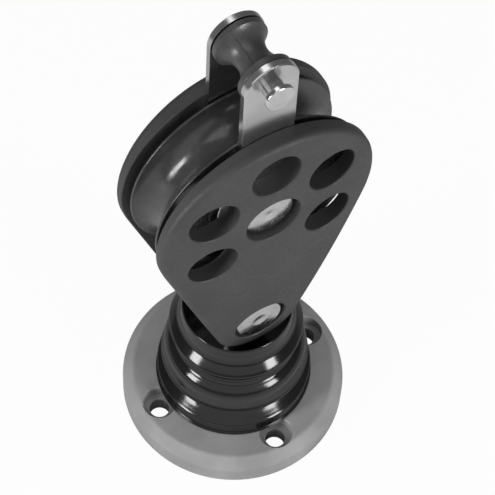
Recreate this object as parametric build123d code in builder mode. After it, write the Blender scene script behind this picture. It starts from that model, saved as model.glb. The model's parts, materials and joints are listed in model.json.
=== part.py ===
from build123d import *
import math
import os

# A stand-up sheave block for a boat's deck. A round base is bolted down, a rubber boot holds the
# head upright, and the head carries one sheave between two cheeks and two load straps.
# Sizes are in millimetres. The deck is the plane z = 0, +Z is up, the sheave turns about Y and
# the rope leads along X. "near" pieces are on the -Y side and "far" pieces on the +Y side.

# ---- Heights of the axes --------------------------------------------------------------------
TOGGLE_HEIGHT = 30.0    # lower joint, under the boot, tilting about X
PIVOT_HEIGHT = 60.0     # cross pin that the head pitches on, along Y
AXLE_HEIGHT = 119.0     # sheave axle
BECKET_RISE = 54.0      # becket pin above the sheave axle

# ---- Sheave ---------------------------------------------------------------------------------
SHEAVE_RADIUS = 32.0
SHEAVE_WIDTH = 15.0
GROOVE_DEPTH = 6.0
FLANGE_LAND = 0.8       # flat on each rim, beside the rope groove
POCKET_DEPTH = 2.0      # ring-shaped hollow in each side of the sheave
POCKET_WALL = 2.0       # material between that hollow and its neighbours
BUSH_WALL = 2.5

# ---- Straps and cheeks ----------------------------------------------------------------------
STRAP_THICKNESS = 2.0
STRAP_WIDTH = 16.0
CHEEK_MARGIN = 1.5      # how far a cheek's rim stands outside the sheave
CHEEK_RIM = 3.5         # thickness at the widest part of the rim
LOBE_RADIUS = 14.0      # rounded lower end, around the cross pin
CROWN_ACROSS = 220.0    # radius of the outer face's dome, across the cheek
CROWN_DROP = 2.43       # how much thinner the cheek's middle is at the cross pin than at the axle
CHEEK_EDGE = 2.0        # rounding of the outer edge, where the toe is thick enough for it
EDGE_SHARE = 0.98       # most of the toe's wall that this rounding may take
DOME_REACH = 1.5        # half width the dome is set out over, as a share of the cheek's radius
WINDOW_WALL = 5.05      # cheek left beside a lightening hole, towards the axle and towards the rim
WINDOW_COUNT = 5
WINDOW_STEP = 60.0      # degrees from one lightening hole to the next; the lowest place is bare

# ---- Riveted pins ---------------------------------------------------------------------------
PIN_RADIUS = 5.0
HEAD_OVERHANG = 2.5     # head beyond the shank
AXLE_HEAD = 2.5         # thickness of each pin's head
PIVOT_HEAD = 1.8
HEAD_DOME = 0.3
HEAD_POCKET_GAP = 1.0   # around a head in its pocket
POCKET_FLOOR = 1.0      # cheek left under a head
RIVET_WASHER = 0.8
SLEEVE_WALL = 3.0       # tube that the sheave turns on
PIVOT_SLEEVE_WALL = 1.5
EYE_WALL = 3.0
SIDE_WASHER = 0.8
WASHER_OVERHANG = 2.4   # side washer beyond the bush it runs against

# ---- Becket ---------------------------------------------------------------------------------
SPOOL_WAIST = 4.6
SPOOL_FLANGE = 1.8
SPOOL_INSET = 0.25      # flange inside the strap's rounded end
BECKET_PIN_RADIUS = 3.0
BECKET_HEAD_RADIUS = 4.25
BECKET_HEAD = 1.3
BECKET_FLOAT = 3.0      # end float of the pin between its head and its ring
RING_RADIUS = 6.0
RING_WIRE = 0.4
RING_HOLE = 0.85
RING_HOLE_STANDOFF = 0.9
PIN_TIP = 1.5           # pin beyond the middle of the ring's hole

# ---- Toggle ---------------------------------------------------------------------------------
TONGUE_THICKNESS = 6.0
TONGUE_RADIUS = 6.5
EAR_THICKNESS = 4.0
EAR_RADIUS = 7.0
EAR_ROOT = 7.5          # from the toggle axis up to where the ears join
TOGGLE_PIN_RADIUS = 3.0
TOGGLE_HEAD_RADIUS = 4.5
TOGGLE_HEAD = 1.5
CLIP_THICKNESS = 0.7
CLIP_GROOVE = 0.7       # depth of the clip's groove in the pin
LINK_NECK = 12.0        # square neck between flange and eye
LINK_FLANGE_RADIUS = 11.0
LINK_FLANGE = 2.0
LINK_SHOULDER = 2.5     # block between ears and flange

# ---- Base and swivel ------------------------------------------------------------------------
BASE_RADIUS = 35.5
BASE_THICKNESS = 10.0
BEVEL_RUN = 3.2
BEVEL_RISE = 3.6
BEVEL_ROUND = 1.4
FIXING_INSET = 8.5      # from the base's edge to a fixing's middle
FIXING_COUNT = 4
FIXING_RADIUS = 3.2     # clearance for an M6 screw
FIXING_HEAD_RADIUS = 5.25
FIXING_HEAD_DEPTH = 4.0
NUT_RECESS_RADIUS = 13.0
NUT_RECESS_DEPTH = 7.0
JOURNAL_RADIUS = 5.0
BASE_BUSH_WALL = 2.0
THREAD_RADIUS = 4.0
NUT_FLATS = 13.0
NUT_THICKNESS = 4.0
POST_WASHER = 1.2
POST_WASHER_RADIUS = 11.0
THRUST_WASHER = 0.8
POST_END_INSET = 0.6    # post's lower end above the deck
TURNTABLE_RADIUS = 20.0
TURNTABLE_THICKNESS = 3.0
POST_FLANGE_RADIUS = 12.0
POST_FLANGE = 2.5
POST_NECK_RADIUS = 7.0

# ---- Boot -----------------------------------------------------------------------------------
FOOT_WALL = 4.5         # rubber outside the turntable's rim
FOOT_EDGE = 1.4
LOWER_CREST = (0.6, 0.12)       # each fold: how far inside the foot, and its place up the boot
LOWER_WAIST = (3.2, 0.24)
MIDDLE_CREST = (1.7, 0.36)
UPPER_WAIST = (5.9, 0.62)
UPPER_CREST = (4.0, 0.78)
CUP_RADIUS = 16.9
CUP_WALL = 1.0
CUP_DEPTH = 9.7         # rim of the cup below the cross pin
WEB_THICKNESS = 2.5
CAVITY_TOP_RADIUS = 15.0
CAVITY_INSET = 1.6      # foot of the cavity inside the turntable's rim

# ---- Clearances -----------------------------------------------------------------------------
RUNNING = 0.05          # radial, where one piece turns or slides on another
THROUGH = 0.05          # radial, where a pin is only passed through
SIDE_GAP = 0.3          # beside a piece that turns between two others
THRUST_GAP = 0.1        # between flat faces that turn on each other
BOOT_GAP = 0.3          # under the boot's foot
SOFT_EDGE = 0.3         # rounding of turned edges

# ---- Worked out from the sizes above --------------------------------------------------------
STRAP_INNER = SHEAVE_WIDTH / 2 + SIDE_GAP
STRAP_OUTER = STRAP_INNER + STRAP_THICKNESS
CHEEK_RADIUS = SHEAVE_RADIUS + CHEEK_MARGIN
CROWN_SAG = CROWN_ACROSS - math.sqrt(CROWN_ACROSS**2 - CHEEK_RADIUS**2)
CROWN = STRAP_OUTER + CHEEK_RIM + CROWN_SAG
HEAD_SEAT = STRAP_OUTER + POCKET_FLOOR
HEAD_RADIUS = PIN_RADIUS + HEAD_OVERHANG
HEAD_POCKET_RADIUS = HEAD_RADIUS + HEAD_POCKET_GAP
WINDOW_CIRCLE = (HEAD_POCKET_RADIUS + CHEEK_RADIUS) / 2
WINDOW_RADIUS = (CHEEK_RADIUS - HEAD_POCKET_RADIUS) / 2 - WINDOW_WALL
AXLE_TO_PIVOT = AXLE_HEIGHT - PIVOT_HEIGHT
BECKET_HEIGHT = AXLE_HEIGHT + BECKET_RISE
SLEEVE_RADIUS = PIN_RADIUS + THROUGH + SLEEVE_WALL
PIVOT_SLEEVE_RADIUS = PIN_RADIUS + THROUGH + PIVOT_SLEEVE_WALL
BUSH_RADIUS = SLEEVE_RADIUS + RUNNING + BUSH_WALL
SIDE_WASHER_RADIUS = BUSH_RADIUS + WASHER_OVERHANG
EYE_RADIUS = PIVOT_SLEEVE_RADIUS + RUNNING + EYE_WALL
WASHER_FACE = STRAP_INNER - SIDE_WASHER
HUB_FACE = WASHER_FACE - SIDE_GAP
EAR_INNER = TONGUE_THICKNESS / 2 + SIDE_GAP
EAR_OUTER = EAR_INNER + EAR_THICKNESS
FLANGE_BOTTOM = TOGGLE_HEIGHT + EAR_ROOT + LINK_SHOULDER
FLANGE_TOP = FLANGE_BOTTOM + LINK_FLANGE
RECESS_TOP = NUT_RECESS_DEPTH
JOURNAL_BOTTOM = RECESS_TOP - THRUST_GAP - THRUST_WASHER
NUT_TOP = JOURNAL_BOTTOM - POST_WASHER
TURNTABLE_BOTTOM = BASE_THICKNESS + THRUST_GAP
TURNTABLE_TOP = TURNTABLE_BOTTOM + TURNTABLE_THICKNESS
POST_FLANGE_TOP = TURNTABLE_TOP + POST_FLANGE
NECK_TOP = TOGGLE_HEIGHT - EAR_RADIUS - SIDE_GAP
BASE_BUSH_RADIUS = JOURNAL_RADIUS + RUNNING + BASE_BUSH_WALL

AXLE_LINE = Axis((0, 0, AXLE_HEIGHT), (0, 1, 0))
BECKET_LINE = Axis((0, 0, BECKET_HEIGHT), (0, 1, 0))


# ---- Helpers --------------------------------------------------------------------------------
def facing_far(y, height):
    """A sketch plane across Y that looks towards +Y, with its own y upwards."""
    return Plane(origin=(0, y, height), x_dir=(-1, 0, 0), z_dir=(0, 1, 0))


def facing_side(x, height):
    """A sketch plane across X that looks towards +X, with its own y upwards."""
    return Plane(origin=(x, 0, height), x_dir=(0, 1, 0), z_dir=(1, 0, 0))


def tube(plane, inner, outer, length, mode=Mode.ADD):
    """Add or cut a tube, or a solid rod where inner is 0, standing on a plane."""
    with BuildSketch(plane) as ring:
        Circle(outer)
        if inner > 0:
            Circle(inner, mode=Mode.SUBTRACT)
    extrude(ring.sketch, amount=length, mode=mode)


def save(piece, name):
    """Label a finished piece and write its STEP file."""
    piece.part.label = name
    export_step(piece.part, f"parts/{name}.step")


def save_pair(piece, name):
    """Write a piece of the far side, and the same piece mirrored to the near side."""
    with BuildPart() as mirrored:
        mirror(piece.part, about=Plane.XZ)
    save(piece, f"far_{name}")
    save(mirrored, f"near_{name}")


os.makedirs("parts", exist_ok=True)

# ---- Base plate: round, bevelled, with counterbored deck fixings ------------------------------
with BuildPart() as base_plate:
    tube(Plane.XY, 0, BASE_RADIUS, BASE_THICKNESS)
    top_rim = base_plate.faces().sort_by(Axis.Z)[-1].edges()
    chamfer(top_rim, length=BEVEL_RISE, length2=BEVEL_RUN)
    bevel_rims = base_plate.edges().filter_by(GeomType.CIRCLE).sort_by(Axis.Z)[1:]
    fillet(bevel_rims, radius=BEVEL_ROUND)
    with Locations((0, 0, BASE_THICKNESS)):
        with PolarLocations(BASE_RADIUS - FIXING_INSET, FIXING_COUNT):
            CounterBoreHole(FIXING_RADIUS, FIXING_HEAD_RADIUS, FIXING_HEAD_DEPTH, BASE_THICKNESS)
    tube(Plane.XY, 0, NUT_RECESS_RADIUS, NUT_RECESS_DEPTH, Mode.SUBTRACT)
    tube(Plane.XY, 0, BASE_BUSH_RADIUS, BASE_THICKNESS, Mode.SUBTRACT)
    fixing_rims = base_plate.edges().filter_by(GeomType.CIRCLE).filter_by(
        lambda rim: math.isclose(rim.radius, FIXING_HEAD_RADIUS)
    ).group_by(Axis.Z)[-1]
    chamfer(fixing_rims, length=SOFT_EDGE)
save(base_plate, "base_plate")

with BuildPart() as base_bush:
    tube(Plane.XY.offset(RECESS_TOP), JOURNAL_RADIUS + RUNNING, BASE_BUSH_RADIUS,
         BASE_THICKNESS - RECESS_TOP)
save(base_bush, "base_bush")

# ---- Swivel: post, turntable and the washers and nut that hold it down ------------------------
with BuildPart() as turntable:
    tube(Plane.XY.offset(TURNTABLE_BOTTOM), JOURNAL_RADIUS + THROUGH, TURNTABLE_RADIUS,
         TURNTABLE_THICKNESS)
    turntable_rims = turntable.edges().filter_by(GeomType.CIRCLE).sort_by(SortBy.RADIUS)[-2:]
    fillet(turntable_rims, radius=SOFT_EDGE)
save(turntable, "turntable")

with BuildPart() as swivel_post:
    tube(Plane.XY.offset(POST_END_INSET), 0, THREAD_RADIUS, JOURNAL_BOTTOM - POST_END_INSET)
    tube(Plane.XY.offset(JOURNAL_BOTTOM), 0, JOURNAL_RADIUS, TURNTABLE_TOP - JOURNAL_BOTTOM)
    tube(Plane.XY.offset(TURNTABLE_TOP), 0, POST_FLANGE_RADIUS, POST_FLANGE)
    tube(Plane.XY.offset(POST_FLANGE_TOP), 0, POST_NECK_RADIUS, NECK_TOP - POST_FLANGE_TOP)
    with BuildSketch(facing_side(-TONGUE_THICKNESS / 2, TOGGLE_HEIGHT)):
        Circle(TONGUE_RADIUS)
        with Locations((0, NECK_TOP - TOGGLE_HEIGHT)):
            Rectangle(2 * TONGUE_RADIUS, TOGGLE_HEIGHT - NECK_TOP, align=(Align.CENTER, Align.MIN))
        Circle(TOGGLE_PIN_RADIUS + RUNNING, mode=Mode.SUBTRACT)
    extrude(amount=TONGUE_THICKNESS)
save(swivel_post, "swivel_post")

with BuildPart() as lower_thrust_washer:
    tube(Plane.XY.offset(JOURNAL_BOTTOM), JOURNAL_RADIUS + THROUGH, POST_WASHER_RADIUS,
         THRUST_WASHER)
save(lower_thrust_washer, "lower_thrust_washer")

with BuildPart() as post_washer:
    tube(Plane.XY.offset(NUT_TOP), THREAD_RADIUS + THROUGH, POST_WASHER_RADIUS, POST_WASHER)
save(post_washer, "post_washer")

with BuildPart() as post_nut:
    with BuildSketch(Plane.XY.offset(NUT_TOP - NUT_THICKNESS)):
        RegularPolygon(NUT_FLATS / 2, 6, major_radius=False)
        Circle(THREAD_RADIUS + THROUGH, mode=Mode.SUBTRACT)
    extrude(amount=NUT_THICKNESS)
save(post_nut, "post_nut")

# ---- Toggle: a link that tilts on the post and carries the head's cross pin -------------------
with BuildPart() as toggle_link:
    for ear_start in (-EAR_OUTER, EAR_INNER):
        with BuildSketch(facing_side(ear_start, TOGGLE_HEIGHT)):
            Circle(EAR_RADIUS)
            Rectangle(2 * EAR_RADIUS, EAR_ROOT, align=(Align.CENTER, Align.MIN))
        extrude(amount=EAR_THICKNESS)
    with BuildSketch(Plane.XY.offset(TOGGLE_HEIGHT + EAR_ROOT)):
        Rectangle(2 * EAR_OUTER, 2 * EAR_RADIUS)
    extrude(amount=LINK_SHOULDER)
    tube(Plane.XY.offset(FLANGE_BOTTOM), 0, LINK_FLANGE_RADIUS, LINK_FLANGE)
    with BuildSketch(Plane.XY.offset(FLANGE_TOP)):
        RectangleRounded(LINK_NECK, LINK_NECK, CHEEK_EDGE)
    extrude(amount=PIVOT_HEIGHT - FLANGE_TOP)
    tube(facing_far(-HUB_FACE, PIVOT_HEIGHT), 0, EYE_RADIUS, 2 * HUB_FACE)
    tube(facing_far(-HUB_FACE, PIVOT_HEIGHT), 0, PIVOT_SLEEVE_RADIUS + RUNNING, 2 * HUB_FACE,
         Mode.SUBTRACT)
    tube(facing_side(-EAR_OUTER, TOGGLE_HEIGHT), 0, TOGGLE_PIN_RADIUS, 2 * EAR_OUTER,
         Mode.SUBTRACT)
save(toggle_link, "toggle_link")

CLIP_START = EAR_OUTER + SIDE_GAP
CLIP_INNER = TOGGLE_PIN_RADIUS - CLIP_GROOVE
with BuildPart() as toggle_pin:
    tube(facing_side(-EAR_OUTER - TOGGLE_HEAD, TOGGLE_HEIGHT), 0, TOGGLE_HEAD_RADIUS, TOGGLE_HEAD)
    tube(facing_side(-EAR_OUTER, TOGGLE_HEIGHT), 0, TOGGLE_PIN_RADIUS,
         CLIP_START + 2 * CLIP_THICKNESS + EAR_OUTER)
    tube(facing_side(CLIP_START, TOGGLE_HEIGHT), CLIP_INNER, TOGGLE_HEAD_RADIUS, CLIP_THICKNESS,
         Mode.SUBTRACT)
    pin_ends = toggle_pin.edges().filter_by(GeomType.CIRCLE).sort_by(Axis.X)
    chamfer([pin_ends[0], pin_ends[-1]], length=SOFT_EDGE)
save(toggle_pin, "toggle_pin")

with BuildPart() as toggle_clip:
    tube(facing_side(CLIP_START, TOGGLE_HEIGHT), CLIP_INNER, TOGGLE_HEAD_RADIUS, CLIP_THICKNESS)
    with BuildSketch(facing_side(CLIP_START, TOGGLE_HEIGHT)):
        Rectangle(2 * (CLIP_INNER - CLIP_GROOVE), TOGGLE_HEAD_RADIUS,
                  align=(Align.CENTER, Align.MAX))
    extrude(amount=CLIP_THICKNESS, mode=Mode.SUBTRACT)
save(toggle_clip, "toggle_clip")

# ---- Boot: a folded rubber sleeve from the turntable up to a cup around the cheeks ------------
FOOT_BOTTOM = BASE_THICKNESS + BOOT_GAP
CUP_RIM_HEIGHT = PIVOT_HEIGHT - CUP_DEPTH
SEAT_RADIUS = TURNTABLE_RADIUS + BOOT_GAP
FOOT_RADIUS = SEAT_RADIUS + FOOT_WALL
SEAT_TOP = TURNTABLE_TOP + THRUST_GAP
WEB_BOTTOM = FLANGE_TOP + THRUST_GAP
WEB_TOP = WEB_BOTTOM + WEB_THICKNESS
WEB_HOLE = LINK_NECK / 2 * math.sqrt(2)
FOLDS = [(FOOT_RADIUS - inset, FOOT_BOTTOM + place * (CUP_RIM_HEIGHT - FOOT_BOTTOM))
         for inset, place in (LOWER_CREST, LOWER_WAIST, MIDDLE_CREST, UPPER_WAIST, UPPER_CREST)]
with BuildPart() as boot:
    with BuildSketch(Plane.XZ):
        with BuildLine():
            Polyline((SEAT_RADIUS, FOOT_BOTTOM), (FOOT_RADIUS, FOOT_BOTTOM),
                     (FOOT_RADIUS, FOOT_BOTTOM + FOOT_EDGE))
            Spline((FOOT_RADIUS, FOOT_BOTTOM + FOOT_EDGE), *FOLDS,
                   (CUP_RADIUS + CUP_WALL, CUP_RIM_HEIGHT))
            Polyline((CUP_RADIUS + CUP_WALL, CUP_RIM_HEIGHT), (CUP_RADIUS, CUP_RIM_HEIGHT),
                     (CUP_RADIUS, WEB_TOP), (WEB_HOLE, WEB_TOP), (WEB_HOLE, WEB_BOTTOM),
                     (CAVITY_TOP_RADIUS, WEB_BOTTOM),
                     (TURNTABLE_RADIUS - CAVITY_INSET, SEAT_TOP),
                     (SEAT_RADIUS, SEAT_TOP), (SEAT_RADIUS, FOOT_BOTTOM))
        make_face()
    revolve(axis=Axis.Z)
save(boot, "boot")

# ---- Cheeks: domed plates that taper from the sheave down to the cross pin --------------------
DOME_HALF = DOME_REACH * CHEEK_RADIUS
DOME_FOOT = AXLE_TO_PIVOT + 2 * LOBE_RADIUS
TOE_DROP = CROWN_DROP * (1 + LOBE_RADIUS / AXLE_TO_PIVOT)**2
TOE_THICKNESS = CROWN - TOE_DROP - STRAP_OUTER
EDGE_ROUND = min(CHEEK_EDGE, EDGE_SHARE * (TOE_THICKNESS - SOFT_EDGE))
DOME_RISES = (DOME_HALF, 0, -DOME_FOOT / 2, -DOME_FOOT)  # where the dome is set out
DOME_SAG = CROWN_ACROSS - math.sqrt(CROWN_ACROSS**2 - DOME_HALF**2)
with BuildPart() as far_cheek:
    with BuildSketch(facing_far(STRAP_OUTER, AXLE_HEIGHT)):
        Circle(CHEEK_RADIUS)
        with Locations((0, -AXLE_TO_PIVOT)):
            Circle(LOBE_RADIUS)
        make_hull()
    extrude(amount=CROWN - STRAP_OUTER)
    with BuildSketch(facing_far(STRAP_OUTER, AXLE_HEIGHT)):
        with PolarLocations(WINDOW_CIRCLE, WINDOW_COUNT, start_angle=-WINDOW_STEP / 2,
                            angular_range=WINDOW_STEP * (WINDOW_COUNT - 1), endpoint=True):
            Circle(WINDOW_RADIUS)
    extrude(amount=CROWN, mode=Mode.SUBTRACT)
    for pin_height in (AXLE_HEIGHT, PIVOT_HEIGHT):
        tube(facing_far(STRAP_OUTER, pin_height), 0, PIN_RADIUS + THROUGH, CROWN, Mode.SUBTRACT)
        tube(facing_far(HEAD_SEAT, pin_height), 0, HEAD_POCKET_RADIUS, CROWN, Mode.SUBTRACT)
    for rise in DOME_RISES:
        top = CROWN - CROWN_DROP * (rise / AXLE_TO_PIVOT)**2
        with BuildSketch(Plane.XY.offset(AXLE_HEIGHT + rise)):
            with BuildLine():
                ThreePointArc((-DOME_HALF, top - DOME_SAG), (0, top), (DOME_HALF, top - DOME_SAG))
                Polyline((DOME_HALF, top - DOME_SAG), (DOME_HALF, 0), (-DOME_HALF, 0),
                         (-DOME_HALF, top - DOME_SAG))
            make_face()
    loft(mode=Mode.INTERSECT)
    dome_face = far_cheek.faces().sort_by(SortBy.AREA)[-2:].sort_by(Axis.Y)[-1]
    fillet(dome_face.outer_wire().edges(), radius=EDGE_ROUND)
    chamfer(far_cheek.faces().sort_by(Axis.Y)[0].outer_wire().edges(), length=SOFT_EDGE)
    dome_face = far_cheek.faces().sort_by(SortBy.AREA)[-2:].sort_by(Axis.Y)[-1]
    opening_rims = [rim for wire in dome_face.inner_wires() for rim in wire.edges()]
    chamfer(opening_rims, length=SOFT_EDGE)
save_pair(far_cheek, "cheek")

# ---- Straps: flat steel bars that carry the load from the becket down to the cross pin --------
with BuildPart() as far_strap:
    with BuildSketch(facing_far(STRAP_INNER, AXLE_HEIGHT)):
        for strap_end in (BECKET_RISE, -AXLE_TO_PIVOT):
            with Locations((0, strap_end)):
                Circle(STRAP_WIDTH / 2)
        make_hull()
        for pin_place in (0, -AXLE_TO_PIVOT):
            with Locations((0, pin_place)):
                Circle(PIN_RADIUS + THROUGH, mode=Mode.SUBTRACT)
        with Locations((0, BECKET_RISE)):
            Circle(BECKET_PIN_RADIUS + RUNNING, mode=Mode.SUBTRACT)
    extrude(amount=STRAP_THICKNESS)
    flats = far_strap.faces().filter_by(Axis.Y).sort_by(Axis.Y)
    chamfer([flat.outer_wire().edges() for flat in flats][1], length=SOFT_EDGE)
save_pair(far_strap, "strap")

# ---- Riveted pins and the pieces on them, at the axle and at the cross pin --------------------
DIMPLE_RADIUS = PIN_RADIUS / 2
for name, height, head in (("axle", AXLE_HEIGHT, AXLE_HEAD), ("pivot", PIVOT_HEIGHT, PIVOT_HEAD)):
    head_face = HEAD_SEAT + head
    with BuildPart() as rivet_pin:
        with BuildSketch(Plane.XY.offset(height)):
            with BuildLine():
                peened_radius = (PIN_RADIUS + HEAD_RADIUS) / 2
                washer_top = HEAD_SEAT + RIVET_WASHER
                Polyline((0, -head_face), (DIMPLE_RADIUS, -head_face - HEAD_DOME),
                         (HEAD_RADIUS - HEAD_DOME, -head_face),
                         (HEAD_RADIUS, -head_face + HEAD_DOME), (HEAD_RADIUS, -HEAD_SEAT),
                         (PIN_RADIUS, -HEAD_SEAT), (PIN_RADIUS, washer_top),
                         (peened_radius, washer_top), (peened_radius - HEAD_DOME, head_face),
                         (0, head_face), close=True)
            make_face()
        revolve(axis=Axis((0, 0, height), (0, 1, 0)))
    save(rivet_pin, f"{name}_pin")

    with BuildPart() as rivet_washer:
        tube(facing_far(HEAD_SEAT, height), PIN_RADIUS + THROUGH, HEAD_RADIUS, RIVET_WASHER)
    save(rivet_washer, f"{name}_rivet_washer")

for name, height, radius in (("axle", AXLE_HEIGHT, SLEEVE_RADIUS),
                             ("pivot", PIVOT_HEIGHT, PIVOT_SLEEVE_RADIUS)):
    with BuildPart() as sleeve:
        tube(facing_far(-STRAP_INNER, height), PIN_RADIUS + THROUGH, radius, 2 * STRAP_INNER)
    save(sleeve, f"{name}_sleeve")

for name, height, inner, outer in (
    ("sheave_washer", AXLE_HEIGHT, SLEEVE_RADIUS + THROUGH, SIDE_WASHER_RADIUS),
    ("pivot_washer", PIVOT_HEIGHT, PIVOT_SLEEVE_RADIUS + THROUGH, EYE_RADIUS),
):
    with BuildPart() as side_washer:
        tube(facing_far(WASHER_FACE, height), inner, outer, SIDE_WASHER)
    save_pair(side_washer, name)

# ---- Sheave and its bush ------------------------------------------------------------------------
POCKET_INNER = SIDE_WASHER_RADIUS + SIDE_GAP + POCKET_WALL
POCKET_OUTER = SHEAVE_RADIUS - GROOVE_DEPTH - POCKET_WALL
with BuildPart() as sheave:
    with BuildSketch(Plane.XY.offset(AXLE_HEIGHT)):
        with BuildLine():
            half = SHEAVE_WIDTH / 2
            lip = half - FLANGE_LAND
            Polyline((BUSH_RADIUS, -half), (SHEAVE_RADIUS, -half), (SHEAVE_RADIUS, -lip))
            ThreePointArc((SHEAVE_RADIUS, -lip), (SHEAVE_RADIUS - GROOVE_DEPTH, 0),
                          (SHEAVE_RADIUS, lip))
            Polyline((SHEAVE_RADIUS, lip), (SHEAVE_RADIUS, half), (BUSH_RADIUS, half),
                     (BUSH_RADIUS, -half))
        make_face()
    revolve(axis=AXLE_LINE)
    rims = sheave.edges().filter_by(GeomType.CIRCLE).group_by(SortBy.RADIUS)[-1]
    fillet(rims, radius=SOFT_EDGE)
    for start in (HUB_FACE, -SHEAVE_WIDTH / 2):
        tube(facing_far(start, AXLE_HEIGHT), 0, SIDE_WASHER_RADIUS + SIDE_GAP,
             SHEAVE_WIDTH / 2 - HUB_FACE, Mode.SUBTRACT)
    for start in (SHEAVE_WIDTH / 2 - POCKET_DEPTH, -SHEAVE_WIDTH / 2):
        tube(facing_far(start, AXLE_HEIGHT), POCKET_INNER, POCKET_OUTER, POCKET_DEPTH,
             Mode.SUBTRACT)
save(sheave, "sheave")

with BuildPart() as sheave_bush:
    tube(facing_far(-HUB_FACE, AXLE_HEIGHT), SLEEVE_RADIUS + RUNNING, BUSH_RADIUS, 2 * HUB_FACE)
save(sheave_bush, "sheave_bush")

# ---- Becket: a waisted spool on a clevis pin, kept by a ring ------------------------------------
with BuildPart() as becket_spool:
    with BuildSketch(Plane.XY.offset(BECKET_HEIGHT)):
        with BuildLine():
            spool_end = SHEAVE_WIDTH / 2
            spool_radius = STRAP_WIDTH / 2 - SPOOL_INSET
            spool_bore = BECKET_PIN_RADIUS + RUNNING
            arch = spool_end - SPOOL_FLANGE
            Polyline((spool_bore, -spool_end), (spool_radius, -spool_end), (spool_radius, -arch))
            ThreePointArc((spool_radius, -arch), (SPOOL_WAIST, 0), (spool_radius, arch))
            Polyline((spool_radius, arch), (spool_radius, spool_end), (spool_bore, spool_end),
                     (spool_bore, -spool_end))
        make_face()
    revolve(axis=BECKET_LINE)
    spool_rims = becket_spool.edges().filter_by(GeomType.CIRCLE).filter_by(
        lambda rim: math.isclose(rim.radius, spool_radius)
    ).sort_by(Axis.Y)
    fillet([spool_rims[0], spool_rims[-1]], radius=SOFT_EDGE)
save(becket_spool, "becket_spool")

RING_HOLE_PLACE = STRAP_OUTER + RING_HOLE_STANDOFF
PIN_HEAD_START = -STRAP_OUTER - BECKET_FLOAT
with BuildPart() as becket_pin:
    tube(facing_far(PIN_HEAD_START - BECKET_HEAD, BECKET_HEIGHT), 0, BECKET_HEAD_RADIUS, BECKET_HEAD)
    tube(facing_far(PIN_HEAD_START, BECKET_HEIGHT), 0, BECKET_PIN_RADIUS,
         RING_HOLE_PLACE + PIN_TIP - PIN_HEAD_START)
    becket_ends = becket_pin.edges().filter_by(GeomType.CIRCLE).sort_by(Axis.Y)
    fillet([becket_ends[0], becket_ends[-1]], radius=SOFT_EDGE)
    with BuildSketch(Plane(origin=(-BECKET_PIN_RADIUS, RING_HOLE_PLACE, BECKET_HEIGHT),
                           x_dir=(0, 1, 0), z_dir=(1, 0, 0))):
        Circle(RING_HOLE)
    extrude(amount=2 * BECKET_PIN_RADIUS, mode=Mode.SUBTRACT)
save(becket_pin, "becket_pin")

# The ring hangs from the pin's cross hole; its bow over the pin is shared above and below the hole.
RING_BOW = RING_RADIUS - math.sqrt(RING_RADIUS**2 - BECKET_PIN_RADIUS**2)
RING_CENTRE = BECKET_HEIGHT + RING_BOW / 2 - RING_RADIUS
with BuildPart() as split_ring:
    with BuildSketch(Plane(origin=(RING_RADIUS, RING_HOLE_PLACE, RING_CENTRE),
                           x_dir=(1, 0, 0), z_dir=(0, 0, 1))):
        Circle(RING_WIRE)
    revolve(axis=Axis((0, RING_HOLE_PLACE, RING_CENTRE), (0, 1, 0)))
save(split_ring, "split_ring")
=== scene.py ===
"""Finishes, rubber boot, ring and stage for a stand-up sheave block.

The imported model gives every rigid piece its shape. Here each piece gets its finish, and the boot,
the split ring and the spool's parting ridge are made in full detail. Lengths are in metres, Z is
up from the deck, the sheave turns about Y and the rope leads along X.
"""

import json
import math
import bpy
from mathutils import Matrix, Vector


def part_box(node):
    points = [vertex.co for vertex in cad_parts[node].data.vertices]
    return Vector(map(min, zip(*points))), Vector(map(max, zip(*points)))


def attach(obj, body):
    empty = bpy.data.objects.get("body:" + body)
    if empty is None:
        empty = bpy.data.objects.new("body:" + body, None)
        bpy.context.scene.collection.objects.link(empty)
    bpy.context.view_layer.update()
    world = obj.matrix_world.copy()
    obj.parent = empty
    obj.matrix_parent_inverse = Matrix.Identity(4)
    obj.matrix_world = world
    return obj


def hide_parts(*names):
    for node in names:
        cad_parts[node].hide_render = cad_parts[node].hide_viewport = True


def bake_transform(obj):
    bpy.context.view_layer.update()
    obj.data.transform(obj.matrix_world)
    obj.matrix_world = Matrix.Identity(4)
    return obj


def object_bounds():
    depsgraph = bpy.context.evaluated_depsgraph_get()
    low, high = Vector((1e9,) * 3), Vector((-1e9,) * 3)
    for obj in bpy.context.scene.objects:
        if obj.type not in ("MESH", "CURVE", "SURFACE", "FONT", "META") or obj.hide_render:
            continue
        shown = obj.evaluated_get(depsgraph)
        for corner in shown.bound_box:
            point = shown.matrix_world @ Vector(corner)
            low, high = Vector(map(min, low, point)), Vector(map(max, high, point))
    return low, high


bl_info = {
    "name": "Stand-up Sheave Block Finishes",
    "version": (1, 0, 0),
    "blender": (4, 5, 0),
    "location": "3D View > Sidebar > Sheave Block",
    "description": "Finishes and soft pieces for a stand-up sheave block with a becket",
    "category": "Object",
}

import bpy
from mathutils import Matrix, Vector

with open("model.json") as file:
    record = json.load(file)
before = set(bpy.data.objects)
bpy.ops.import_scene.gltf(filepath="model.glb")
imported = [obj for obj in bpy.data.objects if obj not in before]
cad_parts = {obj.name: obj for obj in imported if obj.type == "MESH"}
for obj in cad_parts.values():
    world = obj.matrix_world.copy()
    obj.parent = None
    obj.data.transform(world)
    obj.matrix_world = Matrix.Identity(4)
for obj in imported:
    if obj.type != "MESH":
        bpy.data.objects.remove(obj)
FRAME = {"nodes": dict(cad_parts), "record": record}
CAD_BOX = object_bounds()
MM = 0.001
SPOOL_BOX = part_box("becket_spool")
STRAP_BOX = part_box("near_strap")
BOOT_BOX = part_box("boot")
RING_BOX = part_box("split_ring")


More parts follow.
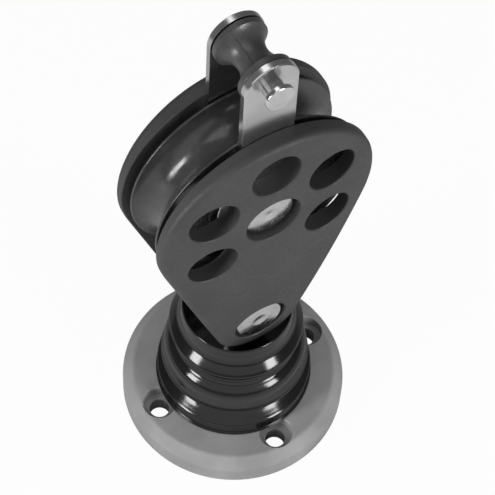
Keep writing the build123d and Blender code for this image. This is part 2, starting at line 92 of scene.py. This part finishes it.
# ---- Settings -------------------------------------------------------------------------------
def finish_colour(name, description, default):
    """A colour property with three channels."""
    return bpy.props.FloatVectorProperty(
        name=name, description=description, subtype="COLOR", size=3, min=0.0, max=1.0,
        default=default)


def length(name, description, default):
    """A length property in metres."""
    return bpy.props.FloatProperty(
        name=name, description=description, unit="LENGTH", subtype="DISTANCE", min=0.0,
        precision=5, default=default)


class FinishSettings(bpy.types.PropertyGroup):
    """Colours of the moulded, turned and polished pieces."""

    base: finish_colour("Base", "Moulded base plate", (0.30, 0.30, 0.30))
    cheek: finish_colour("Cheeks", "Moulded cheeks", (0.044, 0.044, 0.046))
    spool: finish_colour("Spool", "Moulded becket spool", (0.070, 0.070, 0.072))
    sheave: finish_colour("Sheave", "Machined sheave", (0.045, 0.045, 0.047))
    acetal: finish_colour("Washers", "Turned washers, bushes and turntable", (0.72, 0.71, 0.67))
    rubber: finish_colour("Rubber", "Moulded boot", (0.006, 0.006, 0.0065))
    strap: finish_colour("Straps", "Brushed stainless strip", (0.62, 0.62, 0.63))
    pin: finish_colour("Pins", "Polished stainless pins and link", (0.70, 0.70, 0.70))
    ring: finish_colour("Ring", "Drawn stainless wire", (0.62, 0.62, 0.62))


class BootSettings(bpy.types.PropertyGroup):
    """Sizes of the folded rubber boot. Heights are measured from the deck."""

    foot_radius: length("Foot radius", "Outside of the foot", 0.0248)
    lower_radius: length("Lower fold radius", "Edge of the middle fold", 0.0232)
    upper_radius: length("Upper fold radius", "Edge of the fold under the cup", 0.0208)
    waist_radius: length("Waist radius", "Bottom of the groove under the cup", 0.0185)
    cup_radius: length("Cup radius", "Inside of the cup's lip", 0.01635)
    bead: length("Bead", "Thickness of the small bead in the waist", 0.0006)
    steps: bpy.props.IntProperty(
        name="Steps round", description="Faces round the boot", min=24, max=360, default=160)


class RingSettings(bpy.types.PropertyGroup):
    """Sizes of the split ring."""

    wire: length("Wire radius", "Radius of the ring's wire", 0.00028)
    turns: bpy.props.IntProperty(
        name="Turns", description="Turns of wire, side by side", min=1, max=3, default=2)


class StageSettings(bpy.types.PropertyGroup):
    """Camera and lamps."""

    azimuth: bpy.props.FloatProperty(
        name="Azimuth", description="Camera's turn round the block", subtype="ANGLE",
        default=math.radians(-33.37))
    elevation: bpy.props.FloatProperty(
        name="Elevation", description="Camera's angle above the horizon", subtype="ANGLE",
        default=math.radians(58.29))
    roll: bpy.props.FloatProperty(
        name="Roll", description="Camera's turn about its own line of sight", subtype="ANGLE",
        default=math.radians(3.97))
    distance: length("Distance", "From the camera to the point it looks at", 0.5754)
    target: bpy.props.FloatVectorProperty(
        name="Target", description="Point that the camera looks at", subtype="TRANSLATION",
        unit="LENGTH", size=3, default=(0.0, -0.0035, 0.0876))
    lens: bpy.props.FloatProperty(
        name="Lens", description="Focal length in millimetres", min=10.0, max=400.0,
        default=145.45)
    backdrop: finish_colour("Backdrop", "Floor and background", (0.72, 0.72, 0.72))
    lamp_power: bpy.props.FloatProperty(
        name="Lamp power", description="Power of the main soft lamp, in watts", min=0.0,
        default=1.9)
    ambient: bpy.props.FloatProperty(
        name="Ambient", description="Strength of the even light all round", min=0.0, default=0.13)


def settings(context):
    """The scene's four groups of settings."""
    scene = context.scene
    return scene.block_finish, scene.block_boot, scene.block_ring, scene.block_stage


# ---- Node trees -----------------------------------------------------------------------------
class Finish:
    """A material with one principled shader, built up from named surface effects."""

    def __init__(self, name, roughness, metallic=0.0, specular=0.5):
        self.material = bpy.data.materials.new(name)
        self.material.use_nodes = True
        self.nodes = self.material.node_tree.nodes
        self.links = self.material.node_tree.links
        self.shader = self.nodes["Principled BSDF"]
        self.shader.inputs["Metallic"].default_value = metallic
        self.shader.inputs["Roughness"].default_value = roughness
        self.shader.inputs["Specular IOR Level"].default_value = specular
        self.place = self.nodes.new("ShaderNodeTexCoord").outputs["Object"]
        self.normal = None

    def stretched(self, scale):
        """Coordinates of the piece, scaled along each axis."""
        mapping = self.nodes.new("ShaderNodeMapping")
        mapping.inputs["Scale"].default_value = scale
        self.links.new(self.place, mapping.inputs["Vector"])
        return mapping.outputs["Vector"]

    def noise(self, scale, detail=4.0, rough=0.55, stretch=(1.0, 1.0, 1.0)):
        """Soft irregular pattern, as a value near one half."""
        noise = self.nodes.new("ShaderNodeTexNoise")
        noise.inputs["Scale"].default_value = scale
        noise.inputs["Detail"].default_value = detail
        noise.inputs["Roughness"].default_value = rough
        self.links.new(self.stretched(stretch), noise.inputs["Vector"])
        return noise.outputs["Fac"]

    def pits(self, scale):
        """Distance to scattered points, for pebbled moulding grain."""
        cells = self.nodes.new("ShaderNodeTexVoronoi")
        cells.feature = "SMOOTH_F1"
        cells.inputs["Scale"].default_value = scale
        self.links.new(self.place, cells.inputs["Vector"])
        return cells.outputs["Distance"]

    def rings(self, centre, pitch, along_y):
        """Fine turning marks round an axis through a centre."""
        shift = self.nodes.new("ShaderNodeVectorMath")
        shift.operation = "SUBTRACT"
        shift.inputs[1].default_value = centre
        flat = self.nodes.new("ShaderNodeVectorMath")
        flat.operation = "MULTIPLY"
        flat.inputs[1].default_value = (1.0, 0.0, 1.0) if along_y else (1.0, 1.0, 0.0)
        radius = self.nodes.new("ShaderNodeVectorMath")
        radius.operation = "LENGTH"
        wave = self.nodes.new("ShaderNodeMath")
        wave.operation = "SINE"
        scale = self.nodes.new("ShaderNodeMath")
        scale.operation = "MULTIPLY"
        scale.inputs[1].default_value = 2.0 * math.pi / pitch
        self.links.new(self.place, shift.inputs[0])
        self.links.new(shift.outputs["Vector"], flat.inputs[0])
        self.links.new(flat.outputs["Vector"], radius.inputs[0])
        self.links.new(radius.outputs["Value"], scale.inputs[0])
        self.links.new(scale.outputs["Value"], wave.inputs[0])
        return wave.outputs["Value"]

    def edges(self, radius, lowest=0.02, highest=0.35):
        """A mask that is 1 on outside edges within a radius."""
        bevel = self.nodes.new("ShaderNodeBevel")
        bevel.samples = 4
        bevel.inputs["Radius"].default_value = radius
        geometry = self.nodes.new("ShaderNodeNewGeometry")
        dot = self.nodes.new("ShaderNodeVectorMath")
        dot.operation = "DOT_PRODUCT"
        self.links.new(bevel.outputs["Normal"], dot.inputs[0])
        self.links.new(geometry.outputs["Normal"], dot.inputs[1])
        ramp = self.nodes.new("ShaderNodeMapRange")
        ramp.inputs["From Min"].default_value = 1.0 - lowest
        ramp.inputs["From Max"].default_value = 1.0 - highest
        self.links.new(dot.outputs["Value"], ramp.inputs["Value"])
        return ramp.outputs["Result"]

    def product(self, first, second):
        """Two masks multiplied."""
        times = self.nodes.new("ShaderNodeMath")
        times.operation = "MULTIPLY"
        self.links.new(first, times.inputs[0])
        self.links.new(second, times.inputs[1])
        return times.outputs["Value"]

    def colour(self, source, low, high, start=0.35, end=0.65):
        """Colour that runs from low to high over a pattern."""
        ramp = self.nodes.new("ShaderNodeValToRGB")
        ramp.color_ramp.elements[0].position = start
        ramp.color_ramp.elements[1].position = end
        ramp.color_ramp.elements[0].color = (*low, 1.0)
        ramp.color_ramp.elements[1].color = (*high, 1.0)
        self.links.new(source, ramp.inputs["Fac"])
        self.links.new(ramp.outputs["Color"], self.shader.inputs["Base Color"])
        return ramp.outputs["Color"]

    def tint(self, under, mask, over, most=1.0):
        """Another colour laid over the first where a mask is high."""
        mix = self.nodes.new("ShaderNodeMix")
        mix.data_type = "RGBA"
        limit = self.nodes.new("ShaderNodeMath")
        limit.operation = "MULTIPLY"
        limit.use_clamp = True
        limit.inputs[1].default_value = most
        self.links.new(mask, limit.inputs[0])
        self.links.new(limit.outputs["Value"], mix.inputs["Factor"])
        self.links.new(under, mix.inputs[6])
        mix.inputs[7].default_value = (*over, 1.0)
        self.links.new(mix.outputs[2], self.shader.inputs["Base Color"])
        return mix.outputs[2]

    def gloss(self, source, low, high):
        """Roughness that runs from low to high over a pattern."""
        ramp = self.nodes.new("ShaderNodeMapRange")
        ramp.inputs["From Min"].default_value = 0.35
        ramp.inputs["From Max"].default_value = 0.65
        ramp.inputs["To Min"].default_value = low
        ramp.inputs["To Max"].default_value = high
        self.links.new(source, ramp.inputs["Value"])
        self.links.new(ramp.outputs["Result"], self.shader.inputs["Roughness"])

    def bump(self, height, strength, depth):
        """Relief of a stated depth, added to any relief before it."""
        bump = self.nodes.new("ShaderNodeBump")
        bump.inputs["Strength"].default_value = strength
        bump.inputs["Distance"].default_value = depth
        self.links.new(height, bump.inputs["Height"])
        if self.normal is not None:
            self.links.new(self.normal, bump.inputs["Normal"])
        self.normal = bump.outputs["Normal"]
        self.links.new(self.normal, self.shader.inputs["Normal"])


def lighter(colour, factor):
    """A colour made lighter or darker by a factor."""
    return tuple(min(1.0, channel * factor) for channel in colour)


def moulded_nylon(name, colour, roughness, grain):
    """Glass-filled nylon with a pebbled mould grain, faint flow marks and rubbed edges."""
    finish = Finish(name, roughness, specular=0.42)
    flow = finish.noise(55.0, detail=5.0)
    base = finish.colour(flow, lighter(colour, 0.86), lighter(colour, 1.14))
    scuffs = finish.noise(420.0, detail=6.0, rough=0.7)
    worn = finish.product(finish.edges(0.0004), scuffs)
    finish.tint(base, worn, lighter(colour, 2.2), most=0.9)
    finish.gloss(finish.noise(900.0, detail=3.0), roughness - 0.07, roughness + 0.07)
    finish.bump(finish.pits(grain), 0.35, 0.00006)
    finish.bump(finish.noise(2600.0, detail=3.0), 0.25, 0.00003)
    return finish.material


def turned_acetal(name, colour, roughness, centre, along_y, mark=0.25):
    """Turned plastic with fine tool marks, a slight bloom and a painted highlight along its outside
    edges.
    """
    finish = Finish(name, roughness, specular=0.5)
    bloom = finish.noise(140.0, detail=5.0)
    base = finish.colour(bloom, lighter(colour, 0.85), lighter(colour, 1.15))
    # Outside edges lightened towards white: a painted highlight.
    finish.tint(base, finish.edges(0.0003), lighter(colour, 1.9), most=0.5)
    finish.gloss(finish.noise(500.0, detail=5.0), roughness - 0.05, roughness + 0.08)
    finish.bump(finish.rings(centre, 0.00022, along_y), mark, 0.00001)
    finish.bump(finish.noise(1500.0, detail=3.0), 0.12, 0.00002)
    return finish.material


def moulded_rubber(name, colour):
    """Glossy black rubber: smooth skin with faint ripples, scattered dust and dull patches."""
    finish = Finish(name, 0.14, specular=0.5)
    cloud = finish.noise(60.0, detail=6.0, rough=0.6)
    base = finish.colour(cloud, lighter(colour, 0.8), lighter(colour, 1.5))
    dust = finish.product(finish.noise(300.0, detail=8.0, rough=0.7), cloud)
    finish.tint(base, dust, (0.06, 0.06, 0.06), most=0.10)
    finish.gloss(finish.noise(180.0, detail=5.0), 0.10, 0.18)
    finish.bump(finish.noise(120.0, detail=2.0), 0.10, 0.00012)
    finish.bump(finish.noise(1800.0, detail=3.0), 0.12, 0.00002)
    return finish.material


def brushed_steel(name, colour, roughness, stretch):
    """Stainless strip with fine brushing along its length, softer patches and a painted highlight
    on its edges.
    """
    finish = Finish(name, roughness, metallic=1.0)
    brushing = finish.noise(1.0, detail=3.0, stretch=stretch)
    base = finish.colour(finish.noise(90.0, detail=4.0), lighter(colour, 0.90),
                         lighter(colour, 1.08))
    # Outside edges given a brighter metal colour: a painted highlight.
    finish.tint(base, finish.edges(0.0004), (0.85, 0.85, 0.86), most=0.8)
    finish.gloss(brushing, roughness - 0.03, roughness + 0.05)
    finish.bump(brushing, 0.05, 0.00001)
    finish.bump(finish.noise(260.0, detail=4.0), 0.05, 0.00004)
    return finish.material


def polished_steel(name, colour, roughness, centre, along_y=True):
    """Turned and polished stainless with faint turning rings, small scratches and a painted
    highlight on its edges.
    """
    finish = Finish(name, roughness, metallic=1.0)
    base = finish.colour(finish.noise(220.0, detail=5.0), lighter(colour, 0.88),
                         lighter(colour, 1.08))
    # Outside edges given a brighter metal colour: a painted highlight.
    finish.tint(base, finish.edges(0.0003), (0.86, 0.86, 0.87), most=0.7)
    finish.gloss(finish.noise(700.0, detail=6.0, rough=0.7), roughness - 0.06, roughness + 0.10)
    finish.bump(finish.rings(centre, 0.00030, along_y), 0.10, 0.00001)
    finish.bump(finish.noise(480.0, detail=3.0), 0.08, 0.00003)
    return finish.material


def dress(names, material):
    """Give each named rigid piece one finish."""
    for name in names:
        piece = FRAME["nodes"][name]
        piece.data.materials.clear()
        piece.data.materials.append(material)


def middle(node):
    """Centre of a rigid piece's box."""
    low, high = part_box(node)
    return tuple((low + high) / 2)


# ---- Meshes ---------------------------------------------------------------------------------
def new_piece(name, vertices, faces, material, sharp=35.0):
    """A smooth-shaded mesh object with one finish."""
    mesh = bpy.data.meshes.new(name)
    mesh.from_pydata(vertices, [], faces)
    mesh.validate()
    mesh.update()
    mesh.shade_smooth()
    mesh.set_sharp_from_angle(angle=math.radians(sharp))
    mesh.materials.append(material)
    piece = bpy.data.objects.new(name, mesh)
    bpy.context.scene.collection.objects.link(piece)
    return piece


def smooth_line(points, steps):
    """Points along a rounded curve through the given points."""
    line = []
    last = len(points) - 1
    for index in range(last):
        before = points[max(index - 1, 0)]
        start, end = points[index], points[index + 1]
        after = points[min(index + 2, last)]
        for step in range(steps):
            t = step / steps
            line.append(tuple(
                0.5 * (2 * b + (c - a) * t + (2 * a - 5 * b + 4 * c - d) * t**2
                       + (3 * b - a - 3 * c + d) * t**3)
                for a, b, c, d in zip(before, start, end, after)))
    return line + [points[last]]


def turned(profile, steps):
    """Vertices and faces of a closed profile turned round Z."""
    count = len(profile)
    vertices = []
    for step in range(steps):
        angle = 2 * math.pi * step / steps
        for radius, height in profile:
            vertices.append((radius * math.cos(angle), radius * math.sin(angle), height))
    faces = []
    for step in range(steps):
        here, there = step * count, (step + 1) % steps * count
        for index in range(count):
            after = (index + 1) % count
            faces.append((here + index, there + index, there + after, here + after))
    return vertices, faces


def swept(path, radius, sides):
    """Vertices and faces of round wire along an open path, with flat ends."""
    vertices = []
    across = Vector((0, 1, 0))
    for index, point in enumerate(path):
        ahead = path[min(index + 1, len(path) - 1)] - path[max(index - 1, 0)]
        side = ahead.cross(across).normalized()
        rise = side.cross(ahead).normalized()
        for corner in range(sides):
            turn = 2 * math.pi * corner / sides
            vertices.append(point + radius * (math.cos(turn) * side + math.sin(turn) * rise))
    faces = []
    for index in range(len(path) - 1):
        for corner in range(sides):
            here, beside = index * sides + corner, index * sides + (corner + 1) % sides
            faces.append((here, beside, beside + sides, here + sides))
    faces.append(tuple(reversed(range(sides))))
    faces.append(tuple((len(path) - 1) * sides + corner for corner in range(sides)))
    return [tuple(vertex) for vertex in vertices], faces


# ---- Operators ------------------------------------------------------------------------------
class BLOCK_OT_base(bpy.types.Operator):
    """Finish the base plate and its bush"""

    bl_idname = "block.base"
    bl_label = "Base Plate"

    def execute(self, context):
        finish = settings(context)[0]
        dress(["base_plate"], moulded_nylon("base_nylon_finish", finish.base, 0.56, 1300.0))
        dress(["base_bush"], turned_acetal("base_bush_finish", finish.acetal, 0.42,
                                           middle("base_bush"), False))
        return {"FINISHED"}


class BLOCK_OT_swivel(bpy.types.Operator):
    """Finish the swivel post, its turntable, washers and nut"""

    bl_idname = "block.swivel"
    bl_label = "Swivel"

    def execute(self, context):
        finish = settings(context)[0]
        dress(["turntable", "lower_thrust_washer"],
              turned_acetal("turntable_finish", finish.acetal, 0.45, middle("turntable"), False))
        dress(["swivel_post", "post_washer", "post_nut"],
              polished_steel("post_steel_finish", finish.pin, 0.26, middle("swivel_post"), False))
        return {"FINISHED"}


class BLOCK_OT_toggle(bpy.types.Operator):
    """Finish the toggle link, its pin and its clip"""

    bl_idname = "block.toggle"
    bl_label = "Toggle Link"

    def execute(self, context):
        finish = settings(context)[0]
        dress(["toggle_link", "toggle_pin", "toggle_clip"],
              polished_steel("toggle_steel_finish", finish.pin, 0.30, middle("toggle_link")))
        return {"FINISHED"}


class BLOCK_OT_boot(bpy.types.Operator):
    """Make the folded rubber boot, from the turntable up to the cup round the cheeks"""

    bl_idname = "block.boot"
    bl_label = "Rubber Boot"

    def execute(self, context):
        finish, boot = settings(context)[:2]
        outside = smooth_line(self.outline(boot), 5)
        inside = self.cavity(boot)
        vertices, faces = turned(outside + inside, boot.steps)
        piece = new_piece("rubber_boot", vertices, faces,
                          moulded_rubber("boot_rubber_finish", finish.rubber), sharp=60.0)
        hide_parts("boot")
        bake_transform(piece)
        return {"FINISHED"}

    def outline(self, boot):
        """Outside of the rubber, from the foot up over the folds to the cup's lip."""
        foot = BOOT_BOX[0].z
        foot_r, low_r, up_r = boot.foot_radius, boot.lower_radius, boot.upper_radius
        waist_r, cup_r, bead = boot.waist_radius, boot.cup_radius, boot.bead
        base_fold = [(foot_r - 0.3 * MM, 0.0), (foot_r, 0.2 * MM), (foot_r, 0.6 * MM),
                     (foot_r - 0.45 * MM, 0.9 * MM), (foot_r - 0.5 * MM, 1.4 * MM),
                     (foot_r - 0.55 * MM, 4.4 * MM), (foot_r - 0.35 * MM, 5.0 * MM),
                     (foot_r - 0.55 * MM, 5.6 * MM), (foot_r - 1.6 * MM, 6.4 * MM),
                     (foot_r - 3.4 * MM, 7.8 * MM), (foot_r - 4.6 * MM, 9.4 * MM)]
        middle_fold = [(low_r - 3.0 * MM, 11.2 * MM), (low_r - 1.2 * MM, 11.9 * MM),
                       (low_r - 0.15 * MM, 12.4 * MM), (low_r, 12.9 * MM),
                       (low_r - 0.35 * MM, 13.5 * MM), (low_r - 0.65 * MM, 14.4 * MM),
                       (low_r - 1.0 * MM, 18.8 * MM), (low_r - 1.5 * MM, 20.3 * MM),
                       (low_r - 2.6 * MM, 21.7 * MM), (low_r - 3.8 * MM, 22.7 * MM)]
        waist = [(waist_r + 0.4 * MM, 23.9 * MM), (waist_r + 0.15 * MM, 24.4 * MM),
                 (waist_r + bead, 24.8 * MM), (waist_r + bead + 0.1 * MM, 25.3 * MM),
                 (waist_r + bead - 0.1 * MM, 25.8 * MM), (waist_r, 26.6 * MM),
                 (waist_r - 0.1 * MM, 28.0 * MM)]
        upper_fold = [(up_r - 1.0 * MM, 29.3 * MM), (up_r - 0.2 * MM, 29.8 * MM),
                      (up_r, 30.4 * MM), (up_r - 0.4 * MM, 31.1 * MM),
                      (up_r - 1.5 * MM, 32.4 * MM), (up_r - 2.6 * MM, 33.7 * MM)]
        cup = [(cup_r + 1.35 * MM, 35.1 * MM), (cup_r + 1.15 * MM, 36.6 * MM),
               (cup_r + 0.85 * MM, 38.4 * MM), (cup_r + 0.7 * MM, 39.4 * MM),
               (cup_r + 0.35 * MM, 40.0 * MM), (cup_r, 39.7 * MM)]
        return [(radius, foot + height)
                for radius, height in base_fold + middle_fold + waist + upper_fold + cup]

    def cavity(self, boot):
        """Inside of the rubber: the cup's floor, the hole for the link and the hollow below."""
        web_bottom = FRAME["record"]["behaviour"]["joints"][2]["pos_m"][2] - 17.9 * MM
        web_top = web_bottom + 2.5 * MM
        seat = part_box("turntable")[1]
        return [(boot.cup_radius + 0.1 * MM, web_top + 1.0 * MM),
                (boot.cup_radius - 0.9 * MM, web_top), (8.6 * MM, web_top),
                (8.6 * MM, web_bottom), (15.0 * MM, web_bottom),
                (seat.x - 1.6 * MM, seat.z + 0.1 * MM), (seat.x + 0.3 * MM, seat.z + 0.1 * MM),
                (seat.x + 0.3 * MM, BOOT_BOX[0].z)]


class BLOCK_OT_cheeks(bpy.types.Operator):
    """Finish the two moulded cheeks"""

    bl_idname = "block.cheeks"
    bl_label = "Cheeks"

    def execute(self, context):
        finish = settings(context)[0]
        dress(["near_cheek", "far_cheek"],
              moulded_nylon("cheek_nylon_finish", finish.cheek, 0.55, 1700.0))
        return {"FINISHED"}


class BLOCK_OT_straps(bpy.types.Operator):
    """Finish the two load straps"""

    bl_idname = "block.straps"
    bl_label = "Straps"

    def execute(self, context):
        finish = settings(context)[0]
        dress(["near_strap", "far_strap"],
              brushed_steel("strap_steel_finish", finish.strap, 0.20, (5000.0, 5000.0, 120.0)))
        return {"FINISHED"}


class BLOCK_OT_pins(bpy.types.Operator):
    """Finish the riveted pins, their washers and sleeves, and the becket pin"""

    bl_idname = "block.pins"
    bl_label = "Pins"

    def execute(self, context):
        finish = settings(context)[0]
        for name in ("axle", "pivot"):
            dress([f"{name}_pin", f"{name}_rivet_washer", f"{name}_sleeve"],
                  polished_steel(f"{name}_pin_finish", finish.pin, 0.20, middle(f"{name}_pin")))
        for name in ("sheave_washer", "pivot_washer"):
            dress([f"near_{name}", f"far_{name}"],
                  turned_acetal(f"{name}_finish", finish.acetal, 0.42, middle(f"near_{name}"),
                                True))
        dress(["becket_pin"],
              polished_steel("becket_pin_finish", finish.pin, 0.15, middle("becket_pin")))
        return {"FINISHED"}


class BLOCK_OT_sheave(bpy.types.Operator):
    """Finish the sheave and its bush"""

    bl_idname = "block.sheave"
    bl_label = "Sheave"

    def execute(self, context):
        finish = settings(context)[0]
        dress(["sheave"], turned_acetal("sheave_finish", finish.sheave, 0.20, middle("sheave"),
                                        True, mark=0.12))
        dress(["sheave_bush"], turned_acetal("sheave_bush_finish", finish.acetal, 0.42,
                                             middle("sheave_bush"), True))
        return {"FINISHED"}


class BLOCK_OT_spool(bpy.types.Operator):
    """Finish the becket spool and raise the parting ridge along its waist"""

    bl_idname = "block.spool"
    bl_label = "Becket Spool"

    WAIST = 4.6 * MM
    FLANGE = 1.8 * MM
    RIDGE = 0.16 * MM

    def execute(self, context):
        finish = settings(context)[0]
        material = moulded_nylon("spool_nylon_finish", finish.spool, 0.34, 2400.0)
        dress(["becket_spool"], material)
        for number, turn in enumerate((-60.0, 120.0)):
            vertices, faces = self.ridge(math.radians(turn))
            ridge = new_piece(f"spool_parting_ridge_{number + 1}", vertices, faces, material)
            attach(ridge, "spool")
        return {"FINISHED"}

    def ridge(self, turn):
        """A low moulded ridge along the waist, at an angle from +X round the spool's axis."""
        centre = Vector(middle("becket_spool"))
        rim = SPOOL_BOX[1].x - centre.x
        half = SPOOL_BOX[1].y - self.FLANGE
        sag = rim - self.WAIST
        arch = (half**2 + sag**2) / (2 * sag)
        out = Vector((math.cos(turn), 0, math.sin(turn)))
        side = Vector((-math.sin(turn), 0, math.cos(turn)))
        steps = 32
        vertices = []
        for step in range(steps + 1):
            y = 0.94 * half * (2 * step / steps - 1)
            radius = self.WAIST + arch - math.sqrt(arch**2 - y**2)
            for across, rise in ((-1.6, -1.0), (-0.7, 1.0), (0.7, 1.0), (1.6, -1.0)):
                vertices.append(tuple(centre + Vector((0, y, 0)) + side * across * self.RIDGE
                                      + out * (radius + rise * self.RIDGE)))
        faces = []
        for step in range(steps):
            for corner in range(4):
                here, beside = 4 * step + corner, 4 * step + (corner + 1) % 4
                faces.append((here, beside, beside + 4, here + 4))
        faces.append((3, 2, 1, 0))
        faces.append(tuple(4 * steps + corner for corner in range(4)))
        return vertices, faces


class BLOCK_OT_ring(bpy.types.Operator):
    """Make the split ring: turns of wire side by side, with one crossing"""

    bl_idname = "block.ring"
    bl_label = "Split Ring"

    def execute(self, context):
        finish, ring = settings(context)[0], settings(context)[2]
        low, high = RING_BOX
        centre = (low + high) / 2
        radius = (high.x - low.x) / 2 - ring.wire - 0.12 * MM
        steps = 96 * ring.turns
        path = []
        for step in range(steps + 1):
            turns = ring.turns * step / steps
            angle = 2 * math.pi * turns + math.radians(200)
            lay = turns - 0.5
            nearest = round(lay)
            crossing = max(-0.5, min(0.5, (lay - nearest) * 5.0))
            layer = max(-0.5, min(ring.turns - 1.5, nearest + crossing - 0.5))
            path.append(centre + Vector((radius * math.cos(angle), layer * 2.1 * ring.wire,
                                         radius * math.sin(angle))))
        vertices, faces = swept(path, ring.wire, 12)
        piece = new_piece("two_turn_ring", vertices, faces,
                          brushed_steel("ring_steel_finish", finish.ring, 0.24,
                                        (1500.0, 1500.0, 1500.0)))
        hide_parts("split_ring")
        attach(piece, "split_ring")
        return {"FINISHED"}


class BLOCK_OT_stage(bpy.types.Operator):
    """Set the floor, the background, the lamps and the camera"""

    bl_idname = "block.stage"
    bl_label = "Stage"

    def execute(self, context):
        stage = settings(context)[3]
        scene = context.scene
        scene.view_settings.view_transform = "Standard"
        self.floor(scene, stage)
        self.surroundings(scene, stage)
        self.camera(scene, stage)
        view = self.axes(stage)
        power = stage.lamp_power
        self.lamp(scene, "left_lamp", view, (-0.77, -0.34, 0.54), (0.13, 0.26), power)
        self.lamp(scene, "right_lamp", view, (0.77, -0.34, 0.54), (0.13, 0.26), 1.0 * power)
        self.lamp(scene, "top_lamp", view, (-0.2, 0.55, 0.85), (0.5, 0.3), 0.35 * power)
        self.lamp(scene, "front_lamp", view, (0.0, -0.5, 0.85), (0.9, 0.35), 0.3 * power)
        return {"FINISHED"}

    def axes(self, stage):
        """Right, up and back of the camera, before its roll."""
        turn, lift = stage.azimuth, stage.elevation
        back = Vector((math.sin(turn) * math.cos(lift), -math.cos(turn) * math.cos(lift),
                       math.sin(lift)))
        right = Vector((math.cos(turn), math.sin(turn), 0.0))
        return right, back.cross(right), back

    def camera(self, scene, stage):
        """A long lens that looks down at the near cheek."""
        right, up, back = self.axes(stage)
        data = bpy.data.cameras.new("camera")
        data.lens = stage.lens
        camera = bpy.data.objects.new("camera", data)
        scene.collection.objects.link(camera)
        rolled = math.cos(stage.roll) * right + math.sin(stage.roll) * up
        upright = math.cos(stage.roll) * up - math.sin(stage.roll) * right
        pose = Matrix((rolled, upright, back)).transposed().to_4x4()
        pose.translation = Vector(stage.target) + back * stage.distance
        camera.matrix_world = pose
        scene.camera = camera

    def lamp(self, scene, name, view, direction, size, power):
        """A soft rectangular lamp that faces the block from one side of the view."""
        right, up, back = view
        target = (CAD_BOX[0] + CAD_BOX[1]) / 2
        way = (direction[0] * right + direction[1] * up + direction[2] * back).normalized()
        data = bpy.data.lights.new(name, "AREA")
        data.shape = "RECTANGLE"
        data.size, data.size_y = size
        data.energy = power
        lamp = bpy.data.objects.new(name, data)
        lamp.location = target + way * 0.55
        lamp.rotation_euler = way.to_track_quat("Z", "Y").to_euler()
        scene.collection.objects.link(lamp)

    def floor(self, scene, stage):
        """A plain pale floor that shows white and keeps the block's shadow."""
        reach = 3.0
        mesh = bpy.data.meshes.new("floor")
        corners = [(-reach, -reach, 0), (reach, -reach, 0), (reach, reach, 0), (-reach, reach, 0)]
        mesh.from_pydata(corners, [], [(0, 1, 2, 3)])
        floor = bpy.data.objects.new("floor", mesh)
        scene.collection.objects.link(floor)
        material = bpy.data.materials.new("floor_paint")
        material.use_nodes = True
        nodes, links = material.node_tree.nodes, material.node_tree.links
        paint = nodes["Principled BSDF"]
        paint.inputs["Base Color"].default_value = (*stage.backdrop, 1.0)
        paint.inputs["Roughness"].default_value = 0.9
        paint.inputs["Specular IOR Level"].default_value = 0.1
        glow = nodes.new("ShaderNodeEmission")
        rays = nodes.new("ShaderNodeLightPath")
        seen = nodes.new("ShaderNodeMath")
        seen.operation = "MULTIPLY"
        seen.inputs[1].default_value = 0.96
        mix = nodes.new("ShaderNodeMixShader")
        links.new(rays.outputs["Is Camera Ray"], seen.inputs[0])
        links.new(seen.outputs["Value"], mix.inputs["Fac"])
        links.new(paint.outputs["BSDF"], mix.inputs[1])
        links.new(glow.outputs["Emission"], mix.inputs[2])
        links.new(mix.outputs["Shader"], nodes["Material Output"].inputs["Surface"])
        mesh.materials.append(material)

    def surroundings(self, scene, stage):
        """White where it is seen directly, and a softer even light besides."""
        world = bpy.data.worlds.new("white_studio")
        world.use_nodes = True
        scene.world = world
        nodes, links = world.node_tree.nodes, world.node_tree.links
        rays = nodes.new("ShaderNodeLightPath")
        lit = nodes["Background"]
        lit.inputs["Strength"].default_value = stage.ambient
        lit.inputs["Color"].default_value = (1.0, 1.0, 1.0, 1.0)
        seen = nodes.new("ShaderNodeBackground")
        seen.inputs["Color"].default_value = (1.0, 1.0, 1.0, 1.0)
        mix = nodes.new("ShaderNodeMixShader")
        links.new(rays.outputs["Is Camera Ray"], mix.inputs["Fac"])
        links.new(lit.outputs["Background"], mix.inputs[1])
        links.new(seen.outputs["Background"], mix.inputs[2])
        links.new(mix.outputs["Shader"], nodes["World Output"].inputs["Surface"])


OPERATORS = (BLOCK_OT_base, BLOCK_OT_swivel, BLOCK_OT_toggle, BLOCK_OT_boot, BLOCK_OT_cheeks,
             BLOCK_OT_straps, BLOCK_OT_pins, BLOCK_OT_sheave, BLOCK_OT_spool, BLOCK_OT_ring,
             BLOCK_OT_stage)
GROUPS = {"block_finish": FinishSettings, "block_boot": BootSettings,
          "block_ring": RingSettings, "block_stage": StageSettings}


class BLOCK_PT_panel(bpy.types.Panel):
    """Settings and steps of the sheave block"""

    bl_label = "Sheave Block"
    bl_space_type = "VIEW_3D"
    bl_region_type = "UI"
    bl_category = "Sheave Block"

    def draw(self, context):
        for attribute, group in GROUPS.items():
            box = self.layout.box()
            for name in group.__annotations__:
                box.prop(getattr(context.scene, attribute), name)
        for operator in OPERATORS:
            self.layout.operator(operator.bl_idname)


def register():
    """Add the settings, the operators and the panel."""
    for attribute, group in GROUPS.items():
        bpy.utils.register_class(group)
        setattr(bpy.types.Scene, attribute, bpy.props.PointerProperty(type=group))
    for item in (*OPERATORS, BLOCK_PT_panel):
        bpy.utils.register_class(item)


def unregister():
    """Take away what register() added."""
    for item in (BLOCK_PT_panel, *reversed(OPERATORS)):
        bpy.utils.unregister_class(item)
    for attribute, group in GROUPS.items():
        delattr(bpy.types.Scene, attribute)
        bpy.utils.unregister_class(group)


def main():
    """Run every step in order."""
    register()
    for operator in OPERATORS:
        step = operator.bl_idname.split(".")[1]
        getattr(bpy.ops.block, step)()


if __name__ == "__main__":
    main()
